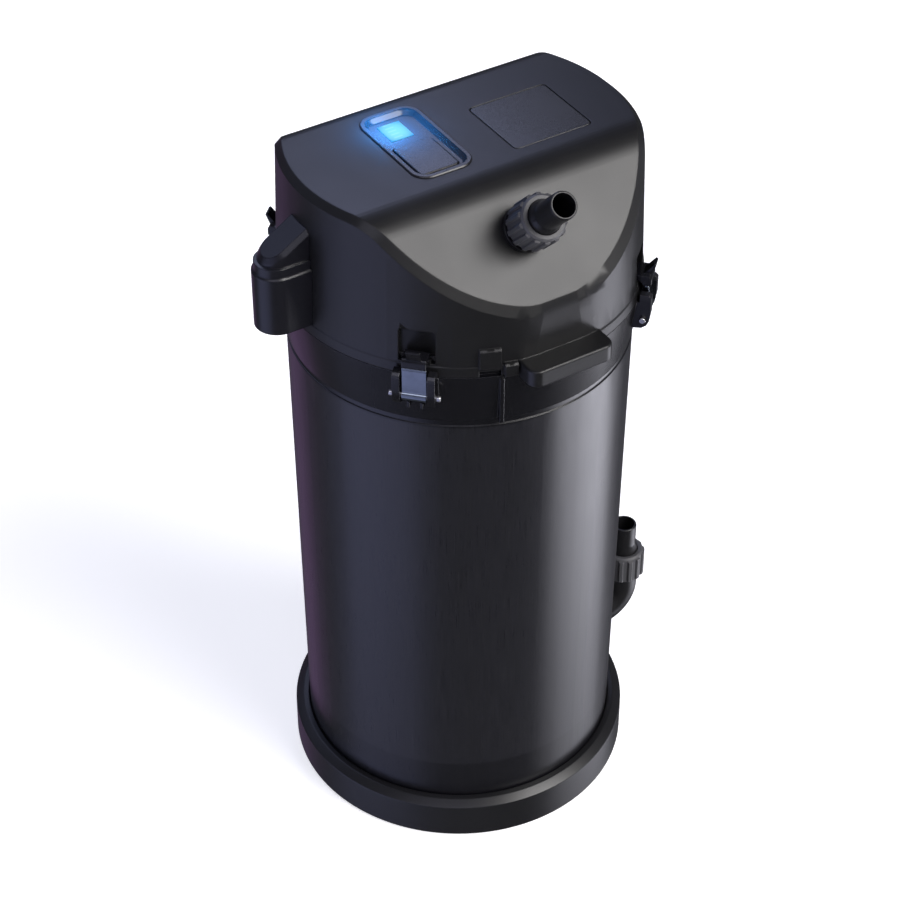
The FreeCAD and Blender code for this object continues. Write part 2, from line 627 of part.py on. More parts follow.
def elbow_seal():
    """Flat ring in the canister's boss, round the elbow's inner end."""
    ring = Part.makeCylinder(9.6, 1.6, Vector(79.4, 0, INLET_Z), Vector(1, 0, 0))
    return ring.cut(Part.makeCylinder(8.0, 1.6, Vector(79.4, 0, INLET_Z), Vector(1, 0, 0)))


# ---- latches, built with +X outwards and turned into place --------------
def latch_pin():
    pin = Part.makeCylinder(PIN_R, 2 * PIN_HALF, Vector(PIN_X, -PIN_HALF, PIN_Z), Vector(0, 1, 0))
    return pin.makeChamfer(0.3, pin.Edges[:1] + pin.Edges[2:])


def latch_plate():
    eye = Part.makeCylinder(2.6, 2 * PLATE_HALF, Vector(PIN_X, -PLATE_HALF, PIN_Z), Vector(0, 1, 0))
    face = PLATE_FACE_X
    sheet = plate_xz([(face - 1.0, PIN_Z), (face, PIN_Z), (face, 294.0), (face + 0.3, 294.6),
                      (face - 0.2, 295.8), (85.6, 295.8), (85.6, 294.9), (face - 1.0, 294.9)],
                     -PLATE_HALF, PLATE_HALF)
    hole = Part.makeCylinder(PIN_R + RUN_CLEAR, 12, Vector(PIN_X, -6, PIN_Z), Vector(0, 1, 0))
    return eye.fuse(sheet).cut(hole)


def latch_hook():
    back = PLATE_FACE_X - 1.0
    carrier = plate_xz([(84.8, 284.2), (back, 284.2), (back, 294.9), (85.6, 294.9), (85.6, 295.8),
                        (84.8, 297.2)], -4.8, 4.8)
    top = plate_xz([(85.6, 295.8), (88.2, 295.8), (88.9, 296.6), (88.9, 299.6), (87.8, 301.0),
                    (81.4, 301.0), (80.6, 300.2), (80.6, 297.9), (83.4, 297.9), (84.8, 296.8),
                    (84.8, 295.8)], -PLATE_HALF, PLATE_HALF)
    spur = plate_xz([(84.4, 300.4), (88.2, 300.4), (90.4, 305.8), (89.4, 306.4), (87.4, 304.0)],
                    -3.2, 3.2)
    return carrier.fuse(top).fuse(spur)


# ---- assembly -----------------------------------------------------------
def main():
    os.makedirs(PARTS, exist_ok=True)
    save("base_ring", base_ring())
    save("canister", canister())
    save("bottom_grid", bottom_grid())
    save("ceramic_rings", ceramic_rings())
    save("coarse_pad", media_disc(79.4, 99.4))
    save("bio_media", media_disc(99.4, 234.0))
    save("fine_pad", media_disc(234.0, 249.0))
    save("top_grid", grid(249.0, 252.0, 3.2, 9.5))
    save("head_shell", head_shell())
    save("head_base", head_base())
    save("head_seal", head_seal())
    save("head_screws", head_screws())
    save("impeller_cover", impeller_cover())
    save("shaft_bushes", shaft_bushes())
    save("rotor_shaft", rotor_shaft())
    save("rotor_magnet", rotor_magnet())
    save("impeller", impeller())
    save("stator_core", stator_core())
    save("stator_coils", stator_coils())
    save("control_tray", control_tray())
    save("control_key", control_key())
    save("display_lens", display_lens())
    save("display_board", display_board())
    save("control_board", control_board())
    save("top_panel", top_panel())
    save("cable_pod", cable_pod())
    save("cable_gland", cable_gland())
    save("outlet_socket", outlet_socket())
    save("outlet_seal", along_outlet(union_seal()))
    save("outlet_nut", along_outlet(union_nut()))
    save("outlet_nozzle", along_outlet(nozzle(OUTLET_REACH)))
    save("inlet_elbow", inlet_elbow())
    save("elbow_seal", elbow_seal())
    save("inlet_seal", at_inlet(union_seal()))
    save("inlet_nut", at_inlet(union_nut()))
    save("inlet_nozzle", at_inlet(nozzle(INLET_REACH)))
    for number, angle in enumerate(LATCH_ANGLES, start=1):
        save("latch_pin_%d" % number, turned(latch_pin(), angle))
        save("latch_plate_%d" % number, turned(latch_plate(), angle))
        save("latch_hook_%d" % number, turned(latch_hook(), angle))


main()
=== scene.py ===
import json
import math
import random

import bmesh
import bpy
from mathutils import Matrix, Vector, noise


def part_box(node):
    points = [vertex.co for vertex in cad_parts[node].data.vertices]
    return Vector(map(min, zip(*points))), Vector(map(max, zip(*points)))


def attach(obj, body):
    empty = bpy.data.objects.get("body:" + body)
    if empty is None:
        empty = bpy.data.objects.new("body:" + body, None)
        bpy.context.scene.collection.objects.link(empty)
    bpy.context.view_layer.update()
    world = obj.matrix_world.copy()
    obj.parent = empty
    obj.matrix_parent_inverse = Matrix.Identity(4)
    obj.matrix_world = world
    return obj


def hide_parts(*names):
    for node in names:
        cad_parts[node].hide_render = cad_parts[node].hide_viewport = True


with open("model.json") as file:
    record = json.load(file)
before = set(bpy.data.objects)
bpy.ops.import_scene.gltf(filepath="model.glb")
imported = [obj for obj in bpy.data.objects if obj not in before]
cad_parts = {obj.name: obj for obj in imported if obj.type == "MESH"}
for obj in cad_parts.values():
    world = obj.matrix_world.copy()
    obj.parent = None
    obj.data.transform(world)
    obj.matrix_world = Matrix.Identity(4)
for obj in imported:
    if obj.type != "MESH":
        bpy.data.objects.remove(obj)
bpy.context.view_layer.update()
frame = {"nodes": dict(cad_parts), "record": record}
NODES = frame["nodes"]
SLOTS = {part["node"]: part["material_slot"] for part in frame["record"]["subparts"]}
BODY_OF = {node: body for body, members in frame["record"]["behaviour"]["bodies"].items()
           for node in members}
MM = 0.001

# Places taken from the frame.
TOP_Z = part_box("head_shell")[1][2]
LENS_LOW, LENS_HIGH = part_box("display_lens")
LENS_CENTRE = [(a + b) / 2 for a, b in zip(LENS_LOW, LENS_HIGH)]

# Heights on the canister, in millimetres, between which its wall is painted darker: painted shadow in the
# groove, painted shade on the down-facing flare, and darker at its foot.
FOOT_ZONE = (0.0, 43.8)
GROOVE_ZONE = (258.6, 263.4)
FLARE_ZONE = (263.0, 291.0)
WRAP_RADIUS = 0.08       # metres, about the canister's wall

# Latches, in millimetres: the pin's place, and the sheet that turns about it.
LATCH_ANGLES = (-135.0, -45.0, 45.0, 135.0)
PIN_X = 86.5
PIN_Z = 280.5
EYE_R = 2.1
SHEET = 0.9
SHEET_HALF = 5.45
SHEET_FACE_X = 88.1 - SHEET / 2
SHEET_EDGE = 0.16

# Edge work, in millimetres and degrees.
BEVEL_SEGMENTS = 2
BEVEL_FROM_ANGLE = 28.0
SHEET_BEVEL_FROM_ANGLE = 50.0
BEVELLED_SHARP = 60.0
CRISP_SHARP = 11.0
FLAT_ENOUGH = 0.3
WELD = 1e-6              # metres

# Camera: place in metres, heading and downward tilt in degrees, lens in millimetres.
CAMERA_PLACE = (-0.5098, -0.8089, 0.9672)
CAMERA_HEADING = -31.96
CAMERA_TILT = 39.44
CAMERA_LENS = 102.7
CAMERA_SENSOR = 36.0

# Light: the studio's dim background, and how far the display's lamp is above the head's top and
# to the left of the lens, in metres.
AMBIENT = (0.07, 0.07, 0.08)
GLOW_HEIGHT = 0.011
GLOW_LEFT = 0.004


# ---- material building --------------------------------------------------
class Shader:
    """A small node-graph builder round one Principled shader."""

    def __init__(self, name):
        self.material = bpy.data.materials.new(name)
        self.material.use_nodes = True
        self.tree = self.material.node_tree
        self.bsdf = self.tree.nodes["Principled BSDF"]
        self.place = self.add("ShaderNodeTexCoord").outputs["Object"]

    def add(self, kind, **settings):
        node = self.tree.nodes.new(kind)
        for key, value in settings.items():
            setattr(node, key, value)
        return node

    def join(self, source, target):
        self.tree.links.new(source, target)

    def value(self, socket, number):
        self.bsdf.inputs[socket].default_value = number

    def stretched(self, scale):
        """Object coordinates multiplied by a scale on each axis."""
        mapping = self.add("ShaderNodeMapping")
        mapping.inputs["Scale"].default_value = scale
        self.join(self.place, mapping.inputs["Vector"])
        return mapping.outputs["Vector"]

    def around_axis(self, along):
        """Coordinates that wrap the part's axis: arc length, and height times a factor."""
        split = self.add("ShaderNodeSeparateXYZ")
        self.join(self.place, split.inputs[0])
        angle = self.math("ARCTAN2", split.outputs["Y"], split.outputs["X"])
        arc_length = self.math("MULTIPLY", angle, WRAP_RADIUS)
        height = self.math("MULTIPLY", split.outputs["Z"], along)
        merge = self.add("ShaderNodeCombineXYZ")
        self.join(arc_length, merge.inputs[0])
        self.join(height, merge.inputs[1])
        return merge.outputs[0]

    def math(self, operation, first, second=0.0):
        """One arithmetic node on numbers or sockets."""
        node = self.add("ShaderNodeMath", operation=operation)
        for socket, item in zip(node.inputs, (first, second)):
            if isinstance(item, (int, float)):
                socket.default_value = item
            else:
                self.join(item, socket)
        return node.outputs[0]

    def noise(self, vector, scale, detail=3.0, rough=0.5):
        node = self.add("ShaderNodeTexNoise")
        node.inputs["Scale"].default_value = scale
        node.inputs["Detail"].default_value = detail
        node.inputs["Roughness"].default_value = rough
        self.join(vector, node.inputs["Vector"])
        return node.outputs["Fac"]

    def cells(self, scale):
        node = self.add("ShaderNodeTexVoronoi", feature="F1")
        node.inputs["Scale"].default_value = scale
        self.join(self.place, node.inputs["Vector"])
        return node.outputs["Distance"]

    def spread(self, source, low, high, start=0.3, end=0.7):
        """Map start..end of a pattern on to low..high."""
        node = self.add("ShaderNodeMapRange")
        for name, number in (("From Min", start), ("From Max", end), ("To Min", low), ("To Max", high)):
            node.inputs[name].default_value = number
        self.join(source, node.inputs["Value"])
        return node.outputs["Result"]

    def blend(self, factor, first, second):
        """Mix two colours, each a tuple or a socket."""
        node = self.add("ShaderNodeMix", data_type="RGBA")
        self.join(factor, node.inputs["Factor"])
        for socket, colour in ((node.inputs[6], first), (node.inputs[7], second)):
            if isinstance(colour, tuple):
                socket.default_value = (*colour, 1.0)
            else:
                self.join(colour, socket)
        return node.outputs[2]

    def zone(self, height, low, high):
        """1 between two heights in millimetres, fading over a millimetre about each."""
        above = self.spread(height, 0.0, 1.0, (low - 0.5) * MM, (low + 0.5) * MM)
        below = self.spread(height, 1.0, 0.0, (high - 0.5) * MM, (high + 0.5) * MM)
        return self.math("MULTIPLY", above, below)

    def edges(self, radius):
        """Normals rounded over a radius in metres, and a mask that is 1 on edges."""
        bevel = self.add("ShaderNodeBevel", samples=4)
        bevel.inputs["Radius"].default_value = radius
        flat = self.add("ShaderNodeNewGeometry").outputs["Normal"]
        dot = self.add("ShaderNodeVectorMath", operation="DOT_PRODUCT")
        self.join(bevel.outputs[0], dot.inputs[0])
        self.join(flat, dot.inputs[1])
        mask = self.spread(dot.outputs["Value"], 1.0, 0.0, 0.86, 0.995)
        return bevel.outputs[0], mask

    def relief(self, layers, normal=None):
        """Bump from (height, depth in metres) layers, one after another."""
        for height, depth in layers:
            bump = self.add("ShaderNodeBump")
            bump.inputs["Strength"].default_value = 1.0
            bump.inputs["Distance"].default_value = depth
            self.join(height, bump.inputs["Height"])
            if normal is not None:
                self.join(normal, bump.inputs["Normal"])
            normal = bump.outputs[0]
        self.join(normal, self.bsdf.inputs["Normal"])

    def colour(self, source):
        self.join(source, self.bsdf.inputs["Base Color"])

    def roughness(self, source):
        self.join(source, self.bsdf.inputs["Roughness"])


def moulded(name, dark, light, rough, grain=2600.0, depth=0.00002, edge=0.0004):
    """Moulded plastic: fine spark-eroded grain, faint flow marks, slightly polished edges with a painted
    highlight that makes them lighter.
    """
    s = Shader(name)
    flow = s.noise(s.stretched((14.0, 14.0, 5.0)), 1.0, 4.0, 0.6)
    fine = s.noise(s.place, grain, 2.0, 0.6)
    normal, edge_highlight_mask = s.edges(edge)
    base = s.blend(s.spread(flow, 0.0, 1.0), dark, light)
    # painted highlight: edges are blended to a lighter colour; the same mask also makes them slightly less
    # rough
    edge_highlight_colour = tuple(min(1.0, 1.6 * c + 0.006) for c in light)
    s.colour(s.blend(s.math("MULTIPLY", edge_highlight_mask, 0.6), base, edge_highlight_colour))
    mottled = s.math("ADD", s.spread(flow, rough - 0.03, rough + 0.04), s.spread(fine, -0.02, 0.02))
    s.roughness(s.math("SUBTRACT", mottled, s.math("MULTIPLY", edge_highlight_mask, 0.08)))
    s.relief([(fine, depth), (flow, 0.00006)], normal)
    s.value("Specular IOR Level", 0.5)
    return s


def canister_plastic():
    """Smoky wall with fine upright draw lines and a painted highlight on its edges, darker at its foot, with
    painted shadow in its groove and painted shade on its flare.
    """
    s = Shader("canister_smoke")
    lines = s.noise(s.around_axis(0.02), 2200.0, 3.0, 0.7)
    bands = s.noise(s.around_axis(0.05), 160.0, 3.0, 0.6)
    cloud = s.noise(s.stretched((9.0, 9.0, 4.0)), 1.0, 3.0)
    normal, edge_highlight_mask = s.edges(0.0004)
    base = s.blend(s.spread(lines, 0.0, 1.0, 0.35, 0.7), (0.007, 0.007, 0.009), (0.015, 0.015, 0.018))
    base = s.blend(s.spread(bands, 0.0, 0.5), base, (0.011, 0.011, 0.015))
    split = s.add("ShaderNodeSeparateXYZ")
    s.join(s.place, split.inputs[0])
    # painted shade: the groove and flare bands are darkened as painted shadow and shade; the foot is darker
    # too
    for zone, strength in ((FLARE_ZONE, 0.8), (GROOVE_ZONE, 0.8), (FOOT_ZONE, 0.5)):
        darker_band = s.math("MULTIPLY", s.zone(split.outputs["Z"], *zone), strength)
        base = s.blend(darker_band, base, (0.002, 0.002, 0.003))
    # painted highlight: edges are blended to a lighter colour
    s.colour(s.blend(s.math("MULTIPLY", edge_highlight_mask, 0.3), base, (0.05, 0.05, 0.06)))
    flare = s.zone(split.outputs["Z"], *FLARE_ZONE)
    drawn = s.math("MULTIPLY", lines, s.math("SUBTRACT", 1.0, flare))
    rough = s.math("ADD", s.spread(drawn, 0.27, 0.38), s.spread(cloud, -0.02, 0.03))
    s.roughness(rough)
    s.relief([(drawn, 0.000012), (bands, 0.00002)], normal)
    s.value("Specular IOR Level", 0.55)
    s.value("Coat Weight", 0.25)
    s.value("Coat Roughness", 0.22)
    return s


def bright_metal(name, tint, rough, brushed=(30.0, 30.0, 900.0)):
    """Plated steel: faint brushing and cloudy patches."""
    s = Shader(name)
    brush = s.noise(s.stretched(brushed), 1.0, 4.0, 0.7)
    patch = s.noise(s.place, 220.0, 3.0)
    darker = tuple(0.8 * c for c in tint)
    s.colour(s.blend(s.spread(patch, 0.0, 1.0), darker, tint))
    s.roughness(s.math("ADD", s.spread(brush, rough - 0.04, rough + 0.06), s.spread(patch, 0.0, 0.06)))
    normal, _ = s.edges(0.0002)
    s.relief([(brush, 0.000004)], normal)
    s.value("Metallic", 1.0)
    return s


def porous(name, dark, light, pore, depth):
    """Open-cell foam, fleece or sintered media."""
    s = Shader(name)
    pores = s.cells(pore)
    fibre = s.noise(s.place, pore * 2.3, 4.0, 0.7)
    cloud = s.noise(s.place, 40.0, 3.0)
    base = s.blend(s.spread(pores, 0.0, 1.0, 0.05, 0.6), dark, light)
    s.colour(s.blend(s.spread(cloud, 0.0, 0.35), base, dark))
    s.roughness(s.spread(fibre, 0.8, 0.98))
    s.relief([(pores, depth), (fibre, depth * 0.4)])
    s.value("Sheen Weight", 0.15)
    return s


def display_glass():
    """Lit window: soft cyan glow, brighter in the middle, with faint plain bars."""
    s = Shader("display_lit")
    split = s.add("ShaderNodeSeparateXYZ")
    s.join(s.place, split.inputs[0])
    across = s.math("SUBTRACT", split.outputs["X"], LENS_CENTRE[0])
    along = s.math("SUBTRACT", split.outputs["Y"], LENS_CENTRE[1])
    sides = []
    for distance, per_metre in ((across, 150.0), (along, 125.0)):
        share = s.math("ABSOLUTE", s.math("MULTIPLY", distance, per_metre))
        sides.append(s.math("POWER", share, 2.5))
    far = s.math("ADD", *sides)
    glow = s.spread(far, 1.0, 0.0, 0.0, 1.1)
    grain = s.noise(s.place, 900.0, 2.0)
    bars = s.spread(s.math("SINE", s.math("MULTIPLY", along, 2400.0)), 0.0, 1.0, 0.1, 0.6)
    band = s.spread(s.math("ABSOLUTE", s.math("ADD", across, 0.0012)), 1.0, 0.0, 0.0018, 0.0024)
    lit = s.blend(glow, (0.02, 0.34, 0.80), (0.17, 0.72, 0.97))
    lit = s.blend(s.math("MULTIPLY", s.math("MULTIPLY", bars, band), 0.22), lit, (0.45, 0.9, 1.0))
    s.colour(s.blend(s.spread(grain, 0.0, 0.2), (0.0005, 0.001, 0.001), (0.001, 0.002, 0.002)))
    s.join(lit, s.bsdf.inputs["Emission Color"])
    s.value("Emission Strength", 1.05)
    s.roughness(s.spread(grain, 0.10, 0.16))
    s.relief([(grain, 0.000002)])
    return s


def circuit(name):
    """Coated board with a faint trace pattern."""
    s = Shader(name)
    trace = s.add("ShaderNodeTexBrick")
    trace.inputs["Scale"].default_value = 160.0
    s.join(s.place, trace.inputs["Vector"])
    grain = s.noise(s.place, 500.0)
    s.colour(s.blend(trace.outputs["Fac"], (0.02, 0.14, 0.06), (0.05, 0.25, 0.1)))
    s.roughness(s.spread(grain, 0.3, 0.45))
    s.relief([(trace.outputs["Fac"], 0.00004)])
    return s


def wound(name, tint, rough, pitch):
    """Copper windings or stacked laminations, as fine level ridges."""
    s = Shader(name)
    ridges = s.noise(s.stretched((4.0, 4.0, pitch)), 1.0, 1.0)
    patch = s.noise(s.place, 90.0)
    s.colour(s.blend(s.spread(ridges, 0.0, 1.0), tuple(0.6 * c for c in tint), tint))
    s.roughness(s.spread(patch, rough, rough + 0.12))
    s.relief([(ridges, 0.0001)])
    s.value("Metallic", 1.0)
    return s


def make_materials():
    """One shader for each material slot of the record."""
    return {
        "head": moulded("head_plastic", (0.006, 0.006, 0.0065), (0.010, 0.010, 0.0105), 0.37, edge=0.0008),
        "canister": canister_plastic(),
        "base": moulded("base_plastic", (0.008, 0.008, 0.009), (0.012, 0.012, 0.014), 0.33),
        "pod": moulded("pod_plastic", (0.006, 0.006, 0.009), (0.009, 0.009, 0.013), 0.30, edge=0.0009),
        "tray": moulded("tray_plastic", (0.013, 0.013, 0.015), (0.018, 0.018, 0.021), 0.26, edge=0.0003),
        "panel": moulded("panel_plastic", (0.017, 0.017, 0.018), (0.022, 0.022, 0.024), 0.28, edge=0.0003),
        "nut": moulded("nut_plastic", (0.055, 0.055, 0.060), (0.075, 0.075, 0.081), 0.46, 1800.0, 0.00003),
        "nozzle": moulded("nozzle_plastic", (0.006, 0.006, 0.007), (0.011, 0.011, 0.012), 0.32, edge=0.0003),
        "latch_black": moulded("latch_gloss", (0.004, 0.004, 0.006), (0.008, 0.008, 0.01), 0.14, edge=0.0002),
        "inner_plastic": moulded("inner_plastic", (0.03, 0.03, 0.034), (0.045, 0.045, 0.05), 0.45),
        "grid": moulded("grid_plastic", (0.04, 0.04, 0.045), (0.06, 0.06, 0.065), 0.5),
        "seal": moulded("seal_rubber", (0.012, 0.012, 0.012), (0.02, 0.02, 0.02), 0.62, 1500.0, 0.00004),
        "chrome": bright_metal("latch_chrome", (0.36, 0.41, 0.46), 0.12),
        "steel": bright_metal("pin_steel", (0.86, 0.86, 0.87), 0.16, (500.0, 500.0, 60.0)),
        "ceramic": porous("ceramic_body", (0.55, 0.52, 0.46), (0.78, 0.75, 0.69), 1400.0, 0.00005),
        "coarse_foam": porous("coarse_foam", (0.01, 0.06, 0.22), (0.05, 0.2, 0.5), 700.0, 0.0005),
        "granulate": porous("granulate", (0.3, 0.2, 0.13), (0.6, 0.46, 0.34), 300.0, 0.0006),
        "fine_fleece": porous("fine_fleece", (0.66, 0.66, 0.63), (0.9, 0.9, 0.88), 1500.0, 0.0002),
        "magnet": wound("magnet_ferrite", (0.16, 0.16, 0.17), 0.4, 60.0),
        "core": wound("core_laminations", (0.42, 0.42, 0.44), 0.35, 2000.0),
        "copper": wound("copper_winding", (0.75, 0.34, 0.16), 0.3, 1600.0),
        "board": circuit("board_coat"),
        "display": display_glass(),
    }


MATERIALS = {slot: shader.material for slot, shader in make_materials().items()}


# ---- mesh helpers -------------------------------------------------------
def new_piece(name, mesh, slot, body):
    piece = bpy.data.objects.new(name, mesh)
    bpy.context.scene.collection.objects.link(piece)
    mesh.materials.clear()
    mesh.materials.append(MATERIALS[slot])
    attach(piece, body)
    return piece


def smooth(mesh, degrees):
    """Shade a mesh smooth, except across edges sharper than an angle."""
    for polygon in mesh.polygons:
        polygon.use_smooth = True
    mesh.set_sharp_from_angle(angle=math.radians(degrees))


def rounded(piece, width, from_angle):
    """Round a piece's edges, or keep them sharp at width 0, with its large faces flat in shading."""
    if width > 0:
        bevel = piece.modifiers.new("round", "BEVEL")
        bevel.width = width * MM
        bevel.segments = BEVEL_SEGMENTS
        bevel.limit_method = "ANGLE"
        bevel.angle_limit = math.radians(from_angle)
        bevel.use_clamp_overlap = True
        smooth(applied(piece), BEVELLED_SHARP)
    else:
        smooth(piece.data, CRISP_SHARP)
    weigh = piece.modifiers.new("weigh", "WEIGHTED_NORMAL")
    weigh.mode = "FACE_AREA"
    weigh.weight = 100
    weigh.keep_sharp = True
    applied(piece)


def applied(piece):
    """Bake a piece's modifiers into its mesh."""
    graph = bpy.context.evaluated_depsgraph_get()
    mesh = bpy.data.meshes.new_from_object(piece.evaluated_get(graph), depsgraph=graph)
    piece.modifiers.clear()
    piece.data = mesh
    return mesh


def finished(node, width):
    """Put a copy of a CAD node in its place, with its edges rounded, or kept crisp at width 0."""
    mesh = NODES[node].data.copy()
    work = bmesh.new()
    work.from_mesh(mesh)
    bmesh.ops.remove_doubles(work, verts=work.verts, dist=WELD)
    bmesh.ops.dissolve_limit(work, angle_limit=math.radians(FLAT_ENOUGH), verts=work.verts,
                             edges=work.edges)
    work.to_mesh(mesh)
    work.free()
    piece = new_piece(node + "_finish", mesh, SLOTS[node], BODY_OF[node])
    rounded(piece, width, BEVEL_FROM_ANGLE)
    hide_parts(node)


# ---- camera, floor and light --------------------------------------------
def make_camera():
    data = bpy.data.cameras.new("camera")
    data.sensor_width = CAMERA_SENSOR
    data.lens = CAMERA_LENS
    camera = bpy.data.objects.new("camera", data)
    bpy.context.scene.collection.objects.link(camera)
    heading = math.radians(CAMERA_HEADING)
    tilt = math.radians(CAMERA_TILT)
    look = Vector((-math.sin(heading) * math.cos(tilt), math.cos(heading) * math.cos(tilt),
                   -math.sin(tilt)))
    camera.location = CAMERA_PLACE
    camera.rotation_euler = look.to_track_quat("-Z", "Y").to_euler()
    bpy.context.scene.camera = camera


def make_floor():
    """A plain pale floor, just under the part."""
    mesh = bpy.data.meshes.new("floor")
    half = 6.0
    corners = [(-half, -half, 0), (half, -half, 0), (half, half, 0), (-half, half, 0)]
    mesh.from_pydata(corners, [], [(0, 1, 2, 3)])
    floor = bpy.data.objects.new("floor", mesh)
    bpy.context.scene.collection.objects.link(floor)
    s = Shader("pale_floor")
    s.value("Base Color", (0.9, 0.9, 0.9, 1.0))
    s.value("Roughness", 0.9)
    s.value("Emission Color", (1.0, 1.0, 1.0, 1.0))
    s.value("Emission Strength", 0.62)
    mesh.materials.append(s.material)
    floor.visible_glossy = False
    floor.location.z = -0.0002


def make_world():
    """A dim studio with soft panels set by direction: round ones, and upright strips."""
    world = bpy.data.worlds.new("studio")
    world.use_nodes = True
    bpy.context.scene.world = world
    tree = world.node_tree
    background = tree.nodes["Background"]
    direction = tree.nodes.new("ShaderNodeTexCoord").outputs["Generated"]

    def vector_node(operation, *inputs):
        node = tree.nodes.new("ShaderNodeVectorMath")
        node.operation = operation
        for socket, item in zip(node.inputs, inputs):
            if isinstance(item, tuple):
                socket.default_value = item
            else:
                tree.links.new(item, socket)
        return node

    def ramp(source, start, full):
        node = tree.nodes.new("ShaderNodeMapRange")
        node.interpolation_type = "SMOOTHSTEP"
        node.inputs["From Min"].default_value = start
        node.inputs["From Max"].default_value = full
        tree.links.new(source, node.inputs["Value"])
        return node.outputs["Result"]

    def scaled(colour, factor):
        node = vector_node("SCALE", colour)
        tree.links.new(factor, node.inputs["Scale"])
        return node.outputs[0]

    level = vector_node("NORMALIZE", vector_node("MULTIPLY", direction, (1.0, 1.0, 0.0)).outputs[0])
    split = tree.nodes.new("ShaderNodeSeparateXYZ")
    tree.links.new(direction, split.inputs[0])
    terms = []
    # round panels: direction, angle where full, angle where gone, colour
    for place, full, gone, colour in (
            ((0.35, -0.70, 0.622), 11.0, 24.0, (7.6, 7.4, 7.3)),
            ((-0.10, 0.66, 0.74), 10.0, 36.0, (0.45, 0.5, 0.8))):
        dot = vector_node("DOT_PRODUCT", direction, tuple(Vector(place).normalized()))
        near = ramp(dot.outputs["Value"], math.cos(math.radians(gone)), math.cos(math.radians(full)))
        terms.append(scaled(colour, near))
    # strips: azimuth, half width where full, half width where gone,
    # sine of the elevation where it starts, is full, begins to fade and is gone, colour
    for azimuth, full, gone, heights, colour in (
            (-28.0, 8.0, 36.0, (-0.735, -0.62, -0.57, -0.47), (4.6, 4.6, 5.1)),
            (-28.0, 8.0, 36.0, (-0.63, -0.53, -0.10, 0.30), (0.7, 0.7, 0.8)),
            (-132.0, 18.0, 36.0, (0.55, 0.68, 0.80, 0.88), (1.5, 1.5, 1.9)),
            (181.0, 8.0, 42.0, (-0.80, -0.61, 0.05, 0.55), (0.52, 0.56, 0.98)),
            (98.0, 6.0, 22.0, (-0.90, -0.75, -0.3, 0.2), (0.14, 0.06, 0.18))):
        turn = math.radians(azimuth)
        dot = vector_node("DOT_PRODUCT", level.outputs[0], (math.cos(turn), math.sin(turn), 0.0))
        factor = ramp(dot.outputs["Value"], math.cos(math.radians(gone)), math.cos(math.radians(full)))
        for start, end in ((heights[0], heights[1]), (heights[3], heights[2])):
            both = tree.nodes.new("ShaderNodeMath")
            both.operation = "MULTIPLY"
            tree.links.new(factor, both.inputs[0])
            tree.links.new(ramp(split.outputs["Z"], start, end), both.inputs[1])
            factor = both.outputs[0]
        terms.append(scaled(colour, factor))
    total = terms[0]
    for term in terms[1:]:
        total = vector_node("ADD", total, term).outputs[0]
    total = vector_node("ADD", total, AMBIENT).outputs[0]
    tree.links.new(total, background.inputs["Color"])


def area_light(name, place, target, size, power, colour=(1.0, 1.0, 1.0)):
    """A round lamp at one place, aimed at another."""
    data = bpy.data.lights.new(name, "AREA")
    data.shape = "DISK"
    data.size = size
    data.energy = power
    data.color = colour
    lamp = bpy.data.objects.new(name, data)
    bpy.context.scene.collection.objects.link(lamp)
    lamp.location = place
    aim = Vector(target) - Vector(place)
    lamp.rotation_euler = aim.to_track_quat("-Z", "Y").to_euler()


def make_lights():
    """A key light, a light for the head's top, and the display's glow on the tray about it."""
    area_light("key_light", (0.7, -1.1, 1.5), (0.0, 0.0, 0.2), 0.7, 5.0)
    area_light("back_light", (0.29, 0.575, 0.92), (-0.03, 0.0, 0.36), 0.26, 0.62, (0.75, 0.82, 1.25))
    glow = bpy.data.lights.new("display_glow", "AREA")
    glow.shape = "RECTANGLE"
    glow.size = 0.011
    glow.size_y = 0.013
    glow.energy = 0.13
    glow.color = (0.03, 0.35, 1.0)
    lamp = bpy.data.objects.new("display_glow", glow)
    bpy.context.scene.collection.objects.link(lamp)
    lamp.location = (LENS_CENTRE[0] - GLOW_LEFT, LENS_CENTRE[1], TOP_Z + GLOW_HEIGHT)
    lamp.visible_glossy = False


# ---- pieces -------------------------------------------------------------
def bent_sheet(path, thickness, half_width, angle, name, node):
    """A sheet that follows an (x, z) path, turned to its place round the canister."""
    points = [Vector((x, 0.0, z)) for x, z in path]
    left, right = [], []
    for k, point in enumerate(points):
        before = points[max(k - 1, 0)]
        after = points[min(k + 1, len(points) - 1)]
        run = (after - before).normalized()
        side = Vector((run.z, 0.0, -run.x)) * (thickness / 2)
        left.append(point + side)
        right.append(point - side)
    outline = left + right[::-1]
    turn = math.radians(angle)
    verts = []
    for y in (-half_width, half_width):
        for p in outline:
            verts.append(((p.x * math.cos(turn) - y * math.sin(turn)) * MM,
                          (p.x * math.sin(turn) + y * math.cos(turn)) * MM, p.z * MM))
    count = len(outline)
    pairs = len(points)
    faces = []
    for k in range(count):
        after = (k + 1) % count
        faces.append((k, after, count + after, count + k))
    for k in range(pairs - 1):
        a, b, c, d = k, k + 1, count - 2 - k, count - 1 - k
        faces.append((a, d, c, b))
        faces.append((count + a, count + b, count + c, count + d))
    mesh = bpy.data.meshes.new(name)
    mesh.from_pydata(verts, [], faces)
    work = bmesh.new()
    work.from_mesh(mesh)
    bmesh.ops.recalc_face_normals(work, faces=work.faces)
    work.to_mesh(mesh)
    work.free()
    piece = new_piece(name, mesh, "chrome", BODY_OF[node])
    rounded(piece, SHEET_EDGE, SHEET_BEVEL_FROM_ANGLE)
    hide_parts(node)


def arc(centre, radius, start, end, steps):
    """Points on an arc between two angles in degrees."""
    points = []
    for k in range(steps + 1):
        turn = math.radians(start + (end - start) * k / steps)
        points.append((centre[0] + radius * math.cos(turn), centre[1] + radius * math.sin(turn)))
    return points


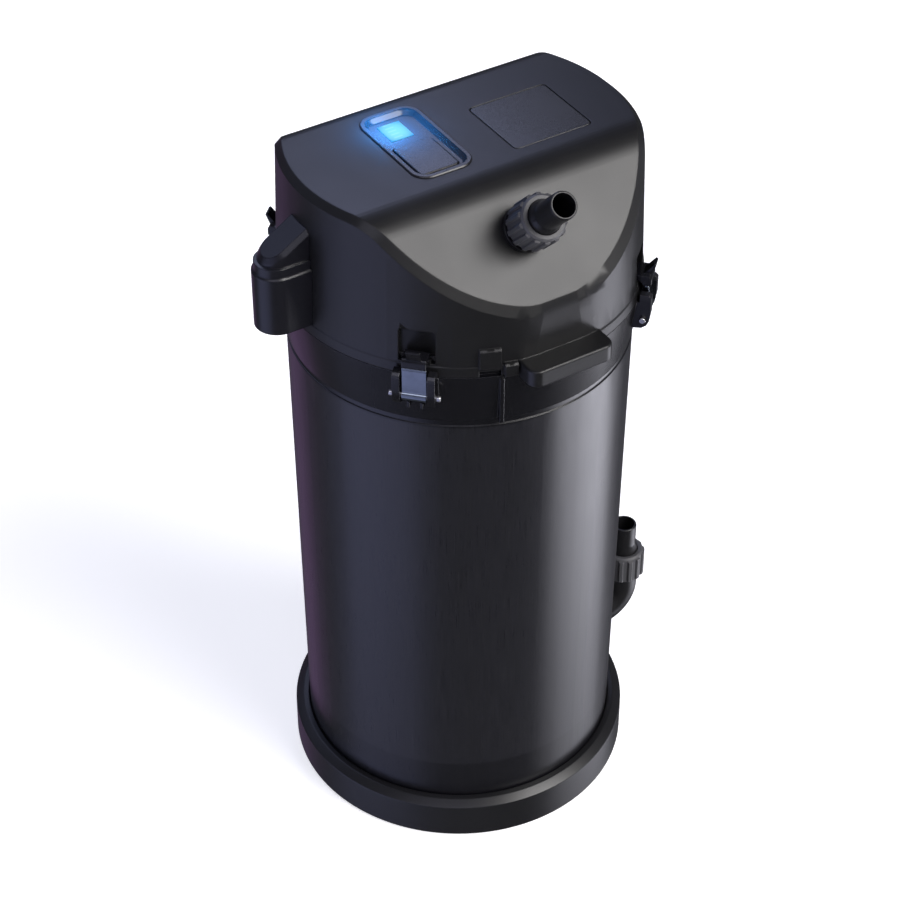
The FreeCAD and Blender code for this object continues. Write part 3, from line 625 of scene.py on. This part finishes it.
def latch_plates():
    """Spring-steel latch sheets: a folded top, a flat face and an eye rolled round the pin."""
    path = [(85.9, 295.35), (86.9, 295.35)] + arc((87.2, 294.95), 0.45, 80, -20, 6)
    path += [(SHEET_FACE_X - 0.1, 294.3), (SHEET_FACE_X, 293.6), (SHEET_FACE_X, 288.6),
             (SHEET_FACE_X - 0.1, 284.6), (SHEET_FACE_X - 0.2, 283.3)]
    path += arc((PIN_X, PIN_Z), EYE_R, 62, -250, 34)
    for number, angle in enumerate(LATCH_ANGLES, start=1):
        bent_sheet(path, SHEET, SHEET_HALF, angle, "latch_sheet_%d" % number,
                   "latch_plate_%d" % number)


def foam_disc(node, name, crown, rough):
    """A cut pad: crowned faces, soft rim and torn surface, with rough as its depth in metres."""
    low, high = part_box(node)
    radius = (high[0] - low[0]) / 2 - 0.0012
    z0, z1 = low[2] + 0.0004, high[2] - 0.0004
    middle = (z0 + z1) / 2
    half = (z1 - z0) / 2
    rings, around = 46, 144
    profile = []
    for k in range(rings + 1):
        t = math.pi * k / rings
        flat = math.copysign(abs(math.cos(t)) ** 0.28, math.cos(t))
        wide = abs(math.sin(t)) ** 0.22 if 0 < k < rings else 0.0
        profile.append((wide * radius, flat * half))
    verts = []
    for r, h in profile:
        for j in range(around):
            turn = 2 * math.pi * j / around
            point = Vector((r * math.cos(turn), r * math.sin(turn), middle + h))
            dome = 1.0 - crown * (r / radius) ** 2
            torn = rough * noise.noise(point * 420.0) + rough * 0.6 * noise.noise(point * 90.0)
            point.z = middle + h * dome - abs(torn) * math.copysign(1.0, h)
            point.x *= 1.0 - abs(torn) / radius
            point.y *= 1.0 - abs(torn) / radius
            verts.append(point)
    faces = [(k * around + j, (k + 1) * around + j, (k + 1) * around + (j + 1) % around,
              k * around + (j + 1) % around) for k in range(rings) for j in range(around)]
    mesh = bpy.data.meshes.new(name)
    mesh.from_pydata(verts, [], faces)
    work = bmesh.new()
    work.from_mesh(mesh)
    bmesh.ops.remove_doubles(work, verts=work.verts, dist=1e-7)
    bmesh.ops.recalc_face_normals(work, faces=work.faces)
    work.to_mesh(mesh)
    work.free()
    smooth(mesh, 80.0)
    piece = new_piece(name, mesh, SLOTS[node], BODY_OF[node])
    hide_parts(node)


def granule(work, centre, size, rng):
    """One irregular sintered granule."""
    made = bmesh.ops.create_icosphere(work, subdivisions=1, radius=size)
    stretch = [rng.uniform(0.8, 1.1) for _ in range(3)]
    for vert in made["verts"]:
        bump = 1.0 + rng.uniform(-0.1, 0.08)
        vert.co = Vector([c * s * bump for c, s in zip(vert.co, stretch)]) + centre


def media_bed():
    """The granulate bed: a packed core, with rows of loose granules over its side."""
    low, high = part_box("bio_media")
    rng = random.Random(7)
    radius = (high[0] - low[0]) / 2
    grain = 0.0048           # a granule's radius, in metres
    work = bmesh.new()
    core = bmesh.ops.create_cone(work, cap_ends=True, segments=64, radius1=radius - grain * 1.6,
                                 radius2=radius - grain * 1.6, depth=high[2] - low[2] - grain * 2.4)
    for vert in core["verts"]:
        vert.co.z += (low[2] + high[2]) / 2
    rows = int((high[2] - low[2] - 2 * grain) / (grain * 1.75))
    for row in range(rows + 1):
        z = low[2] + grain * 1.2 + row * (high[2] - low[2] - 2.4 * grain) / rows
        count = int(2 * math.pi * radius / (grain * 1.9))
        for k in range(count):
            turn = 2 * math.pi * (k + 0.5 * (row % 2)) / count
            reach = radius - grain * rng.uniform(1.15, 1.4)
            granule(work, Vector((reach * math.cos(turn), reach * math.sin(turn), z)), grain, rng)
    mesh = bpy.data.meshes.new("media_bed")
    work.to_mesh(mesh)
    work.free()
    smooth(mesh, 50.0)
    piece = new_piece("media_bed", mesh, "granulate", BODY_OF["bio_media"])
    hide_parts("bio_media")


# Edge rounding in millimetres for each CAD node that is copied.  At 0 the shader alone rounds the edges.
EDGE_ROUNDING = {
    "head_shell": 0.0, "canister": 0.35, "base_ring": 0.6, "cable_pod": 0.0, "cable_gland": 0.4,
    "control_tray": 0.0, "control_key": 0.25, "top_panel": 0.15, "outlet_socket": 0.3,
    "outlet_nut": 0.0, "inlet_nut": 0.0, "outlet_nozzle": 0.25, "inlet_nozzle": 0.25,
    "inlet_elbow": 0.3, "head_base": 0.0, "impeller": 0.0, "impeller_cover": 0.15, "rotor_magnet": 0.3,
    "top_grid": 0.2, "bottom_grid": 0.2, "head_screws": 0.15,
}
EDGE_ROUNDING.update({"latch_hook_%d" % k: 0.3 for k in range(1, 5)})
EDGE_ROUNDING.update({"latch_pin_%d" % k: 0.12 for k in range(1, 5)})


def main():
    make_camera()
    make_floor()
    make_world()
    make_lights()
    for node, width in EDGE_ROUNDING.items():
        finished(node, width)
    latch_plates()
    foam_disc("coarse_pad", "coarse_foam_pad", 0.05, 0.0006)
    foam_disc("fine_pad", "fine_fleece_pad", 0.10, 0.0004)
    media_bed()
    for node, item in NODES.items():
        item.data.materials.clear()
        item.data.materials.append(MATERIALS[SLOTS[node]])
    scene = bpy.context.scene
    scene.view_settings.view_transform = "Standard"
    scene.view_settings.look = "None"


main()
bpy.context.view_layer.update()
